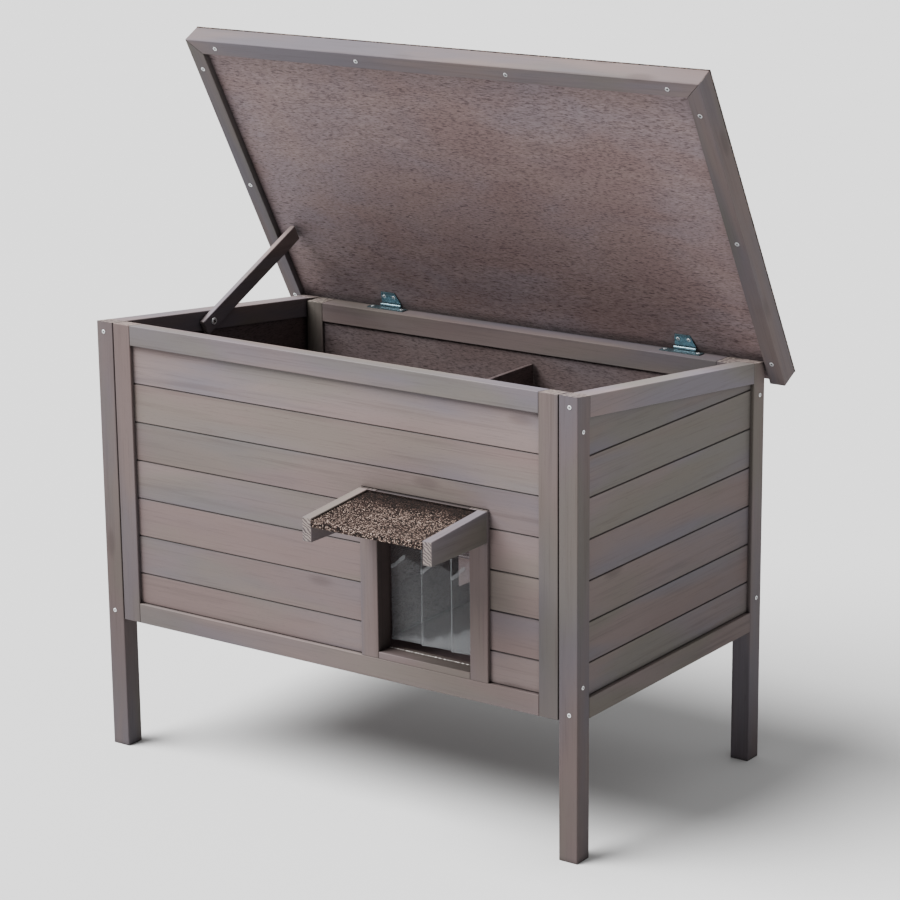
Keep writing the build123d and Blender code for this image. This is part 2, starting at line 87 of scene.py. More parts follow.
class WoodSettings(bpy.types.PropertyGroup):
    pale_stain: tint("Pale stain", "Wash where it lies thin on the softwood", 104, 92, 90)
    warm_stain: tint("Warm stain", "Wash where the red of the wood comes through", 100, 86, 84)
    cool_stain: tint("Cool stain", "Wash where it has pooled bluish grey", 92, 87, 93)
    olive_stain: tint("Olive stain", "Wash where it has weathered greenish grey", 93, 89, 82)
    grain_shade: tint("Grain", "Stain held in the grain lines", 62, 52, 51)
    end_grain: tint("End grain", "Pale rings on a sawn end", 150, 138, 130)
    bare_wood: bpy.props.FloatVectorProperty(
        name="Bare wood", description="Pale wood where an edge is rubbed through the stain",
        subtype="COLOR", size=3, min=0.0, max=1.0, default=(0.8, 0.76, 0.72))
    ply_stain: tint("Plywood stain", "Stained face of the thin plywood", 92, 77, 76)
    ply_fleck: tint("Plywood fleck", "Open pores in the plywood face", 46, 36, 36)
    grain_depth: bpy.props.FloatProperty(
        name="Grain depth", description="Height of the raised grain", default=0.35 * MM, min=0.0,
        unit="LENGTH")


class FittingSettings(bpy.types.PropertyGroup):
    zinc: tint("Zinc plate", "Blue-passivated zinc on the hinges", 100, 121, 129)
    screw_zinc: tint("Screw zinc", "Bright zinc on the screw heads", 214, 216, 218)
    # Painted shade: the dark colour given to the cross recess of each screw head.
    recess_shade: tint("Recess shade", "Shade in the cross of a screw head", 34, 32, 31)
    granule_pale: tint("Pale granules", "Lightest stone granules on the felt", 172, 150, 138)
    granule_mid: tint("Brown granules", "Middle stone granules on the felt", 74, 56, 50)
    granule_dark: tint("Dark granules", "Bitumen and the darkest granules", 24, 17, 15)
    strip_tint: tint("Strip tint", "Colour of the clear plastic strips", 118, 120, 123)
    strip_thickness: bpy.props.FloatProperty(
        name="Strip thickness", description="Thickness of a plastic strip", default=1.6 * MM, min=0.5 * MM,
        unit="LENGTH")
    strip_crease: bpy.props.FloatProperty(
        name="Strip crease", description="Height of the packing crease across a strip", default=3.2 * MM,
        min=0.0, unit="LENGTH")
    felt_grit: bpy.props.FloatProperty(
        name="Felt grit", description="How far the granules stand out of the felt", default=0.35 * MM,
        min=0.0, unit="LENGTH")


class StageSettings(bpy.types.PropertyGroup):
    azimuth: bpy.props.FloatProperty(
        name="Azimuth", description="Camera bearing from the front, towards the right side",
        default=math.radians(35.5), subtype="ANGLE")
    elevation: bpy.props.FloatProperty(
        name="Elevation", description="Camera height above the horizon", default=math.radians(15.29),
        subtype="ANGLE")
    roll: bpy.props.FloatProperty(
        name="Roll", description="Camera turn about its own line of sight", default=math.radians(-0.58),
        subtype="ANGLE")
    distance: bpy.props.FloatProperty(
        name="Distance", description="Camera to the point it aims at", default=4.3027, min=1.0, unit="LENGTH")
    lens: bpy.props.FloatProperty(
        name="Lens", description="Focal length in millimetres", default=118.52, min=20.0)
    aim: bpy.props.FloatVectorProperty(
        name="Aim", description="Point the camera looks at", size=3, default=(0.05206, 0.02378, 0.48023),
        subtype="TRANSLATION")
    floor_tone: tint("Floor", "Plain pale studio floor", 196, 196, 196)
    key_strength: bpy.props.FloatProperty(
        name="Key light", description="Strength of the large soft light above the front left", default=11.5,
        min=0.0)
    key_softness: bpy.props.FloatProperty(
        name="Key softness", description="Width of the soft light as it is seen from the box",
        default=math.radians(44.0), subtype="ANGLE")
    key_bearing: bpy.props.FloatVectorProperty(
        name="Key bearing", description="Where the soft light stands, seen from the box", size=3,
        default=(-0.45, -0.42, 0.79), subtype="DIRECTION")
    sky: bpy.props.FloatProperty(
        name="Surroundings", description="Brightness of the plain white surroundings", default=0.6, min=0.0)


class BoxSettings(bpy.types.PropertyGroup):
    wood: bpy.props.PointerProperty(type=WoodSettings, name="Wood", description="Stain and grain")
    fittings: bpy.props.PointerProperty(
        type=FittingSettings, name="Fittings", description="Metal, felt and plastic")
    stage: bpy.props.PointerProperty(type=StageSettings, name="Stage", description="Camera, floor and light")


# ------------------------------------------------------------------ materials
class Finish:
    """A material being made, with short ways of adding nodes to it."""

    def __init__(self, name):
        self.material = bpy.data.materials.new(name)
        self.material.use_nodes = True
        self.tree = self.material.node_tree
        self.tree.nodes.clear()
        self.shader = self.tree.nodes.new("ShaderNodeBsdfPrincipled")
        output = self.tree.nodes.new("ShaderNodeOutputMaterial")
        self.tree.links.new(self.shader.outputs[0], output.inputs["Surface"])
        coordinates = self.tree.nodes.new("ShaderNodeTexCoord")
        self.place = coordinates.outputs["Object"]
        self.facing = coordinates.outputs["Normal"]

    def node(self, kind, inputs=None, **settings):
        """Add a node with its settings, and set or link its inputs by name or number."""
        made = self.tree.nodes.new(kind)
        for setting, value in settings.items():
            setattr(made, setting, value)
        for socket, value in (inputs or {}).items():
            self.feed(made.inputs[socket], value)
        return made

    def feed(self, socket, value):
        """Link another node's output to a socket, or set it to a value."""
        if isinstance(value, bpy.types.NodeSocket):
            self.tree.links.new(value, socket)
        elif socket.type == "RGBA" and len(value) == 3:
            socket.default_value = (*value, 1.0)
        else:
            socket.default_value = value

    def set(self, **inputs):
        """Set the shader's own inputs, an underscore standing for a space."""
        for socket, value in inputs.items():
            self.feed(self.shader.inputs[socket.replace("_", " ")], value)

    def stretched(self, place, scale, shift=(0.0, 0.0, 0.0)):
        """Coordinates multiplied by a scale for each axis, after a shift."""
        moved = self.node("ShaderNodeVectorMath", {0: place, 1: shift}, operation="ADD").outputs[0]
        return self.node("ShaderNodeVectorMath", {0: moved, 1: scale}, operation="MULTIPLY").outputs[0]

    def turned(self, vector, angle):
        """A place or a direction turned about the x axis."""
        inputs = {"Vector": vector, "Angle": angle}
        return self.node("ShaderNodeVectorRotate", inputs, rotation_type="X_AXIS").outputs[0]

    def part(self, vector, axis):
        """One of a vector's three numbers, by its axis."""
        return self.node("ShaderNodeSeparateXYZ", {0: vector}).outputs["xyz".index(axis)]

    def toward(self, vector, direction):
        """How much of a vector lies in a direction."""
        inputs = {0: vector, 1: direction}
        return self.node("ShaderNodeVectorMath", inputs, operation="DOT_PRODUCT").outputs["Value"]

    def noise(self, place, detail=3.0, roughness=0.5, distortion=0.0):
        """Cloudy values from 0 to 1, about one feature for each unit of place."""
        inputs = {"Vector": place, "Scale": 1.0, "Detail": detail, "Roughness": roughness,
                  "Distortion": distortion}
        return self.node("ShaderNodeTexNoise", inputs).outputs[0]

    def grain(self, place, direction, along, across, shift, detail=2.0, roughness=0.5, distortion=0.0):
        """Clouds drawn out along the grain, so many to the metre along it and across it."""
        spread = self.stretched(place, grain_scale(direction, along, across), shift)
        return self.noise(spread, detail, roughness, distortion)

    def between(self, value, low, high, out_low=0.0, out_high=1.0):
        """A value moved from one range to another and kept within it, with soft ends."""
        inputs = {"Value": value, "From Min": low, "From Max": high, "To Min": out_low, "To Max": out_high}
        return self.node("ShaderNodeMapRange", inputs, interpolation_type="SMOOTHSTEP").outputs[0]

    def maths(self, operation, first, second=0.5):
        """One step of arithmetic on numbers."""
        return self.node("ShaderNodeMath", {0: first, 1: second}, operation=operation).outputs[0]

    def plus(self, first, second):
        """Two numbers added."""
        return self.maths("ADD", first, second)

    def minus(self, first, second):
        """The second number taken from the first."""
        return self.maths("SUBTRACT", first, second)

    def times(self, first, second):
        """Two numbers multiplied."""
        return self.maths("MULTIPLY", first, second)

    def mix(self, factor, first, second, blend="MIX"):
        """Two colours mixed."""
        made = self.node("ShaderNodeMix", data_type="RGBA", blend_type=blend, clamp_factor=True)
        self.feed(made.inputs[0], factor)
        self.feed(made.inputs[6], first)
        self.feed(made.inputs[7], second)
        return made.outputs[2]

    def shade(self, colour, value):
        """A colour made lighter or darker by a number."""
        grey = self.node("ShaderNodeCombineColor", {0: value, 1: value, 2: value}).outputs[0]
        return self.mix(1.0, colour, grey, "MULTIPLY")

    def corner_shaded(self, colour, reach, darkest=0.3):
        """A colour darkened by ambient occlusion in corners, gaps and grooves: painted shade."""
        corners = self.node("ShaderNodeAmbientOcclusion", {"Distance": reach}, samples=6).outputs["AO"]
        return self.shade(colour, self.between(corners, 0.25, 0.85, darkest, 1.0))

    def relief(self, height, distance, strength=1.0):
        """Bumps on the surface, of a height from 0 to 1 times the distance."""
        bump = self.node("ShaderNodeBump", {"Height": height, "Distance": distance, "Strength": strength})
        self.set(Normal=bump.outputs[0])


def grain_scale(direction, along, across):
    """Scales for the three axes, the first along the grain and the others across it."""
    scale = [across, across, across]
    scale["xyz".index(direction)] = along
    return tuple(scale)


def told_apart(finish, place, rows, seed):
    """A stack of boards, rows being its (top, pitch): a place that jumps from each board to the next, and the
    node that holds each board's chance values."""
    top, pitch = rows
    below_top = finish.minus(top, finish.part(place, "z"))
    row = finish.maths("FLOOR", finish.maths("DIVIDE", below_top, pitch))
    chance = finish.node("ShaderNodeTexWhiteNoise", {"W": finish.plus(row, seed)}, noise_dimensions="1D")
    jump = finish.stretched(chance.outputs["Color"], (3.0, 3.0, 3.0))
    return finish.node("ShaderNodeVectorMath", {0: place, 1: jump}, operation="ADD").outputs[0], chance


def grained(finish, place, direction, shift, colour):
    """A wash with its streaks, fine lines, pores and small knots, and the height of the grain."""
    shade = bpy.context.scene.nesting_box.wood.grain_shade
    streaks = finish.grain(place, direction, 2.6, 90.0, shift, 4.0, 0.6, 0.25)
    lines = finish.grain(place, direction, 9.0, 420.0, shift, 3.0, 0.6, 0.15)
    pores = finish.grain(place, direction, 70.0, 900.0, shift)
    colour = finish.mix(finish.between(streaks, 0.52, 0.78, 0.0, 0.34), colour, shade)
    colour = finish.mix(finish.between(lines, 0.5, 0.8, 0.0, 0.3), colour, shade)
    colour = finish.mix(finish.between(pores, 0.62, 0.8, 0.0, 0.3), colour, shade)
    knot_place = finish.stretched(place, grain_scale(direction, 5.0, 14.0), shift)
    knots = finish.node("ShaderNodeTexVoronoi", {"Vector": knot_place, "Scale": 1.0})
    colour = finish.mix(finish.between(knots.outputs["Distance"], 0.05, 0.16, 0.35, 0.0), colour, shade)
    return colour, finish.plus(finish.times(lines, 0.6), finish.times(streaks, 0.4))


def sawn_ends(finish, place, facing, direction, colour):
    """A colour with pale growth rings on the faces that the grain runs out of."""
    wood = bpy.context.scene.nesting_box.wood
    ends = finish.maths("ABSOLUTE", finish.toward(facing, grain_scale(direction, 1.0, 0.0)))
    turned = finish.node("ShaderNodeMapping", {"Vector": place, "Rotation": (0.7, 0.75, 0.7)}).outputs[0]
    inputs = {"Vector": turned, "Scale": 75.0, "Distortion": 6.0, "Detail": 2.0, "Detail Scale": 1.5}
    rings = finish.node("ShaderNodeTexWave", inputs).outputs["Fac"]
    sawn = finish.mix(finish.between(rings, 0.25, 0.75), wood.grain_shade, wood.end_grain)
    return finish.mix(finish.times(finish.between(ends, 0.75, 0.95), 0.55), colour, sawn)


def rubbed_edge(finish, colour, edge_y):
    """A colour rubbed pale in dashes along an edge that runs from side to side."""
    off_line = finish.maths("ABSOLUTE", finish.minus(finish.part(finish.place, "y"), edge_y))
    dashes = finish.noise(finish.stretched(finish.place, (260.0, 0.0, 0.0)), 2.0)
    rubbed = finish.times(finish.between(off_line, 0.9 * MM, 1.7 * MM, 1.0, 0.0),
                          finish.between(dashes, 0.48, 0.56, 0.1, 1.0))
    return finish.mix(rubbed, colour, bpy.context.scene.nesting_box.wood.bare_wood)


def stained_wood(name, direction, shift, tone=1.0, warmth=0.5, lean=0.0, rows=None, shaded_toward=None, worn=None):
    """Planed softwood under a thin grey wash: pooled stain, long fine grain and sawn ends.
    rows is (top, pitch) where one node or wall holds a stack of boards, each with a tone of its own.
    shaded_toward is the direction of the faces given painted shade. worn is the y of an edge rubbed pale."""
    wood = bpy.context.scene.nesting_box.wood
    finish = Finish(name)
    place = finish.turned(finish.place, lean) if lean else finish.place
    facing = finish.turned(finish.facing, lean) if lean else finish.facing
    if rows:
        place, chance = told_apart(finish, place, rows, shift[0])

    pooled = finish.grain(place, direction, 2.4, 14.0, shift, 3.0, 0.5, 0.4)
    drift = finish.grain(place, direction, 2.1, 8.0, (shift[2], shift[0], 4.1))
    damp = finish.grain(place, direction, 2.8, 10.0, (8.3, shift[1], shift[0]))
    colour = finish.mix(finish.between(pooled, 0.36, 0.64), wood.cool_stain, wood.pale_stain)
    reddened = finish.between(drift, 0.62 - 0.3 * warmth, 0.82 - 0.2 * warmth)
    colour = finish.mix(reddened, colour, wood.warm_stain)
    colour = finish.mix(finish.between(damp, 0.48, 0.66, 0.0, 1.0 - 0.6 * warmth), colour, wood.olive_stain)
    colour, height = grained(finish, place, direction, shift, colour)
    colour = sawn_ends(finish, place, facing, direction, colour)

    level = finish.between(pooled, 0.2, 0.8, 0.95 * tone, 1.05 * tone)
    if rows:
        level = finish.times(level, finish.between(chance.outputs["Value"], 0.0, 1.0, 0.92, 1.06))
        # Painted shade in the grooves: faces of the boards that are not upright, the chamfers between them
        # and their top and bottom edges, are darkened.
        slant = finish.maths("ABSOLUTE", finish.part(facing, "z"))
        level = finish.times(level, finish.between(slant, 0.25, 0.6, 1.0, 0.42))
    # Painted light: parts low down are darker, as the light falls from above, and faces turned up are
    # lighter.
    if not lean:
        level = finish.times(level, finish.between(finish.part(finish.place, "z"), 0.25, 0.6, 0.8, 1.0))
        level = finish.times(level, finish.between(finish.part(facing, "z"), 0.6, 0.95, 1.0, 1.5))
    # Painted shade on the faces turned in that direction.
    if shaded_toward:
        level = finish.times(level, finish.between(finish.toward(facing, shaded_toward), 0.6, 0.9, 1.0, 0.42))
    colour = finish.shade(colour, level)
    if worn:
        colour = rubbed_edge(finish, colour, worn)
    # Painted shade in corners, gaps and grooves.
    colour = finish.corner_shaded(colour, 12 * MM, 0.22)
    finish.relief(height, wood.grain_depth, 0.7)
    finish.set(Base_Color=colour, Roughness=finish.between(pooled, 0.3, 0.7, 0.58, 0.74), IOR=1.45,
               Specular_IOR_Level=0.2)
    return finish.material


def stained_plywood(name, direction, shift, lean=0.0, tone=1.0, red=0.5):
    """Thin plywood under the same wash, its open pores showing as short dark flecks along the grain."""
    wood = bpy.context.scene.nesting_box.wood
    finish = Finish(name)
    place = finish.turned(finish.place, lean) if lean else finish.place
    clouds = finish.grain(place, direction, 5.0, 9.0, shift, 3.0, 0.5, 0.6)
    rust = finish.grain(place, direction, 9.0, 22.0, (shift[1], 2.3, shift[0]), 3.0)
    waves = finish.grain(place, direction, 16.0, 75.0, shift, 3.0, 0.6, 0.5)
    flecks = finish.grain(place, direction, 140.0, 640.0, shift, 3.0, 0.6, 0.3)
    dashes = finish.grain(place, direction, 85.0, 520.0, (shift[2], 7.7, shift[0]), 2.0, 0.5, 0.2)
    colour = finish.mix(finish.between(clouds, 0.3, 0.7, 0.0, 0.55), wood.ply_stain, wood.cool_stain)
    colour = finish.mix(finish.between(rust, 0.42, 0.7, 0.0, red), colour, wood.warm_stain)
    colour = finish.mix(finish.between(waves, 0.5, 0.75, 0.0, 0.25), colour, wood.grain_shade)
    colour = finish.mix(finish.between(flecks, 0.48, 0.66, 0.0, 0.55), colour, wood.ply_fleck)
    colour = finish.mix(finish.between(dashes, 0.59, 0.7, 0.0, 0.75), colour, wood.ply_fleck)
    pale = finish.between(flecks, 0.28, 0.46, 1.28, 1.0)
    level = finish.times(finish.between(clouds, 0.2, 0.8, 0.96 * tone, 1.04 * tone), pale)
    # Painted shade in the plywood's corners and gaps.
    colour = finish.corner_shaded(finish.shade(colour, level), 20 * MM, 0.3)
    finish.relief(finish.minus(flecks, dashes), wood.grain_depth, 0.5)
    finish.set(Base_Color=colour, Roughness=finish.between(clouds, 0.3, 0.7, 0.62, 0.78), IOR=1.45,
               Specular_IOR_Level=0.28)
    return finish.material


def mineral_felt(name, damp=None):
    """Bitumen roofing felt under pressed stone granules. damp is (y at the wall, y where the band ends) for
    the band beside a wall that is painted darker, as painted shade."""
    fittings = bpy.context.scene.nesting_box.fittings
    finish = Finish(name)
    granules = finish.node("ShaderNodeTexVoronoi", {"Vector": finish.place, "Scale": 690.0})
    grit = finish.node("ShaderNodeTexVoronoi", {"Vector": finish.place, "Scale": 1250.0})
    chance = finish.node("ShaderNodeSeparateColor", {0: granules.outputs["Color"]})
    patches = finish.noise(finish.stretched(finish.place, (22.0, 22.0, 22.0)), 3.0, 0.6)
    pick = finish.plus(chance.outputs[0], finish.between(patches, 0.3, 0.7, -0.05, 0.05))
    # Painted shade: granules picked darker in the band beside the wall.
    if damp:
        pick = finish.minus(pick, finish.between(finish.part(finish.place, "y"), damp[1], damp[0], 0.0, 0.34))
    colour = finish.mix(finish.between(pick, 0.35, 0.7), fittings.granule_dark, fittings.granule_mid)
    colour = finish.mix(finish.between(pick, 0.64, 0.88), colour, fittings.granule_pale)
    rust = finish.between(chance.outputs[1], 0.7, 0.95, 0.0, 0.4)
    colour = finish.mix(rust, colour, fittings.granule_mid)
    seams = finish.between(granules.outputs["Distance"], 0.3, 0.6, 1.0, 0.2)
    colour = finish.shade(colour, seams)
    rounded = finish.between(granules.outputs["Distance"], 0.0, 0.65, 1.0, 0.0)
    fine = finish.between(grit.outputs["Distance"], 0.0, 0.6, 1.0, 0.0)
    finish.relief(finish.plus(rounded, finish.times(fine, 0.4)), fittings.felt_grit * 1.6, 0.9)
    finish.set(Base_Color=colour, Roughness=finish.between(chance.outputs[2], 0.0, 1.0, 0.62, 0.9), IOR=1.5,
               Specular_IOR_Level=0.1)
    return finish.material


def bright_zinc(name, colour, metal):
    """Zinc-plated pressed steel: soft clouds in the plating, fine rolling marks and painted shade in its
    recesses.
    """
    finish = Finish(name)
    clouds = finish.noise(finish.stretched(finish.place, (300.0, 300.0, 300.0)), 3.0, 0.6)
    marks = finish.noise(finish.stretched(finish.place, (120.0, 2600.0, 2600.0)), 2.0)
    colour = finish.shade(colour, finish.between(clouds, 0.3, 0.7, 0.8, 1.02))
    # Painted shade in the recesses.
    colour = finish.corner_shaded(colour, 2.5 * MM, 0.06)
    finish.relief(marks, 0.05 * MM, 0.5)
    finish.set(Base_Color=colour, Metallic=metal, Roughness=finish.between(clouds, 0.3, 0.7, 0.24, 0.4))
    return finish.material


def clear_strip(name, left, pitch, low, high):
    """Clear flexible PVC: glossy, with fine scuffs, a painted highlight along the packing crease across each
    strip, painted reflection below the crease and at the feet, and painted highlights along the cut edges.
    left is the first strip's edge, and pitch the step to the next strip."""
    fittings = bpy.context.scene.nesting_box.fittings
    finish = Finish(name)
    height = finish.part(finish.place, "z")
    count = finish.maths("DIVIDE", finish.minus(finish.part(finish.place, "x"), left), pitch)
    share = finish.maths("FRACT", count)
    middle = low + 0.65 * (high - low)
    rise = finish.plus(finish.between(share, 0.0, 0.45, middle - 8 * MM, middle + 8 * MM),
                      finish.between(share, 0.45, 1.0, 0.0, -7 * MM))
    over = finish.minus(height, rise)
    # Painted reflection: below the crease line the strip is made more opaque, so it shows lighter, the scuffs
    # varying it.
    painted_reflection_below = finish.between(over, -3 * MM, 1 * MM, 1.0, 0.0)
    # Painted highlight: a more opaque band along the crease, over the left part of each strip.
    crease = finish.between(finish.maths("ABSOLUTE", over), 1.5 * MM, 5.5 * MM, 1.0, 0.0)
    crease = finish.times(crease, finish.between(share, 0.36, 0.5, 1.0, 0.0))
    # Painted reflection: the feet are made more opaque, the band rising towards the right-hand strips.
    clouds = finish.noise(finish.stretched(finish.place, (45.0, 45.0, 18.0)), 4.0, 0.6)
    foot = finish.minus(height, finish.between(count, 0.6, 2.8, 0.0, 26 * MM))
    foot = finish.plus(foot, finish.between(clouds, 0.3, 0.7, -6 * MM, 6 * MM))
    foot_reflection = finish.between(foot, low - 4 * MM, low + 24 * MM, 0.5, 0.0)
    # Painted highlight: a thin opaque line along each strip's left cut edge, fading out towards the left-hand
    # strip.
    edge = finish.between(share, 0.008, 0.024, 0.85, 0.0)
    edge = finish.times(edge, finish.between(count, 0.5, 1.6))
    scuffs = finish.noise(finish.stretched(finish.place, (500.0, 500.0, 60.0)), 3.0)
    cover = finish.plus(0.05, finish.times(painted_reflection_below, finish.between(scuffs, 0.3, 0.7, 0.07, 0.11)))
    for mark in (finish.times(crease, 0.42), foot_reflection, edge):
        cover = finish.maths("MAXIMUM", cover, mark)
    colour = finish.shade(fittings.strip_tint, finish.between(scuffs, 0.3, 0.7, 0.94, 1.0))
    finish.set(Base_Color=colour, Roughness=finish.between(scuffs, 0.4, 0.8, 0.05, 0.14), IOR=1.52,
               Specular_IOR_Level=0.5, Alpha=cover)
    waves = finish.noise(finish.stretched(finish.place, (16.0, 16.0, 34.0)), 2.0)
    finish.relief(waves, 0.9 * MM, 0.5)
    return finish.material


def paint(node, material):
    """Give a CAD node its finish."""
    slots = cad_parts[node].data.materials
    slots.clear()
    slots.append(material)


# ------------------------------------------------------------------ modelling helpers
def deselect():
    """Nothing selected and nothing in edit mode."""
    if bpy.context.object and bpy.context.object.mode != "OBJECT":
        bpy.ops.object.mode_set(mode="OBJECT")
    bpy.ops.object.select_all(action="DESELECT")


def choose(piece):
    """One piece selected and active, and nothing else."""
    deselect()
    piece.select_set(True)
    bpy.context.view_layer.objects.active = piece


def named(name):
    """The object just added, under its own name."""
    piece = bpy.context.object
    piece.name = name
    piece.data.name = name
    return piece


def settle(piece):
    """Bring a piece's turn, scale and place into its mesh."""
    choose(piece)
    bpy.ops.object.transform_apply(location=True, rotation=True, scale=True)
    return piece


def modified(piece, kind, **settings):
    """Add a modifier, set it and apply it."""
    choose(piece)
    modifier = piece.modifiers.new(kind.title(), kind)
    for setting, value in settings.items():
        setattr(modifier, setting, value)
    bpy.ops.object.modifier_apply(modifier=modifier.name)
    return piece


def joined(pieces, name):
    """Several objects made one."""
    deselect()
    for piece in pieces:
        piece.select_set(True)
    bpy.context.view_layer.objects.active = pieces[0]
    bpy.ops.object.join()
    return settle(named(name))


def sheet_grid(name, across, along, where):
    """A grid whose points are placed by a function of two shares from 0 to 1."""
    deselect()
    bpy.ops.mesh.primitive_grid_add(x_subdivisions=across, y_subdivisions=along, size=1.0)
    piece = named(name)
    for point in piece.data.vertices:
        point.co = where(point.co.x + 0.5, point.co.y + 0.5)
    return piece


def copied(pattern, matrix):
    """A copy of a pattern, with a mesh of its own moved to its place."""
    copy = pattern.copy()
    copy.data = pattern.data.copy()
    copy.data.transform(matrix)
    bpy.context.scene.collection.objects.link(copy)
    return copy


def finished(piece, material, degrees):
    """Turn a new sheet's faces outwards, shade it smooth and give it its material."""
    outward(piece)
    smoothed(piece, degrees)
    piece.data.materials.clear()
    piece.data.materials.append(material)


def smoothed(piece, degrees):
    """Shade a piece smooth, keeping edges sharper than an angle."""
    choose(piece)
    bpy.ops.object.shade_smooth_by_angle(angle=math.radians(degrees))
    return piece


def outward(piece):
    """Merge doubled points and turn every face outwards."""
    choose(piece)
    bpy.ops.object.mode_set(mode="EDIT")
    bpy.ops.mesh.select_all(action="SELECT")
    bpy.ops.mesh.remove_doubles(threshold=0.00001)
    bpy.ops.mesh.normals_make_consistent(inside=False)
    bpy.ops.object.mode_set(mode="OBJECT")
    return piece


def solids(node):
    """The separate solids of a CAD node, each as an array of its points."""
    mesh = bmesh.new()
    mesh.from_mesh(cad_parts[node].data)
    bmesh.ops.remove_doubles(mesh, verts=mesh.verts, dist=0.00001)
    left = set(mesh.verts)
    found = []
    while left:
        reached = [left.pop()]
        part = []
        while reached:
            vert = reached.pop()
            part.append(tuple(vert.co))
            for edge in vert.link_edges:
                other = edge.other_vert(vert)
                if other in left:
                    left.remove(other)
                    reached.append(other)
        found.append(np.array(part))
    mesh.free()
    return sorted(found, key=lambda part: tuple(np.round(part.mean(0), 4)))


def screws_of(node, direction=None):
    """A node's screws: for each the middle of its head's underside, the way out, and the head's radius and
    height."""
    places = []
    for part in solids(node):
        axis = Vector(direction) if direction else Vector((0, 0, 0))
        if not direction:
            axis[int(np.argmax(np.ptp(part, axis=0)))] = 1.0
        middle = (part.max(0) + part.min(0)) / 2
        reach = (part - middle) @ np.array(axis)
        radial = np.linalg.norm((part - middle) - np.outer(reach, np.array(axis)), axis=1)
        if radial[reach > reach.max() - 0.0001].max() < radial[reach < reach.min() + 0.0001].max():
            axis, reach = -axis, -reach
        head = reach[radial > radial.max() * 0.95]
        core = part[radial < radial.max() * 0.95]
        centre = Vector((core.max(0) + core.min(0)) / 2)
        offset = centre - Vector(middle)
        centre = Vector(middle) + offset - axis * offset.dot(axis)
        underside = centre + axis * float(head.min())
        places.append((underside, axis, float(radial.max()), float(head.max() - head.min())))
    return places


# ------------------------------------------------------------------ wood
# For each piece: the axis its grain runs along, how pale it is, and how much of the red shows, from 0 to 1.
FRAME_WOOD = {
    "leg_front_left": ("z", 0.68, 0.4),
    "leg_front_right": ("z", 0.7, 0.7),
    "leg_back_left": ("z", 0.8, 0.5),
    "leg_back_right": ("z", 0.88, 0.5),
    "front_stile_left": ("z", 0.76, 0.7),
    "front_stile_right": ("z", 0.68, 0.6),
    "front_top_rail": ("x", 0.9, 0.6),
    "front_bottom_rail": ("x", 0.9, 0.8),
    "left_top_rail": ("y", 0.92, 0.4),
    "left_bottom_rail": ("y", 0.9, 0.4),
    "right_top_rail": ("y", 1.08, 0.5),
    "right_bottom_rail": ("y", 0.88, 0.4),
    "back_top_rail": ("x", 0.66, 0.5),
    "back_bottom_rail": ("x", 0.85, 0.4),
    "back_stiles": ("z", 0.66, 0.4),
    "floor_bearers": ("y", 0.85, 0.5),
    "awning_cheek_left": ("y", 0.86, 0.3),
    "awning_cheek_right": ("y", 0.84, 0.3),
    "curtain_batten": ("x", 0.8, 0.5),
    "lid_stay": ("y", 0.9, 0.3),
}
LID_WOOD = {
    "lid_front_rim": ("x", 0.96, 0.3),
    "lid_left_rim": ("z", 0.8, 0.3),
    "lid_right_rim": ("z", 0.75, 0.4),
    "lid_back_rim": ("x", 0.85, 0.4),
}
# For each panel: the axis its grain runs along, and how pale it is.
PLYWOOD = {
    "front_lining": ("x", 0.62),
    "left_lining": ("y", 0.62),
    "right_lining": ("y", 0.62),
    "back_lining": ("x", 0.66),
    "floor_panel": ("x", 0.7),
    "partition": ("y", 0.7),
    "awning_deck": ("x", 0.8),
}
# For each wall of boards: the axis they run along, where their grain starts, and how pale they are.
SIDE_BOARDS = {
    "left_planks": ("y", 7.0, 0.94),
    "right_planks": ("y", 4.0, 0.9),
    "back_planks": ("x", 9.0, 0.95),
}
BOARD_ROWS = 7
RUBBED_LINE = 26 * MM       # from the sill's front face to the edge that is rubbed pale
UPWARD = (0.0, 0.0, 1.0)


def lid_angle():
    """How far the propped lid leans from upright, from the slope of its inner panel."""
    low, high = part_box("lid_panel")
    return math.atan2(high.y - low.y, high.z - low.z)


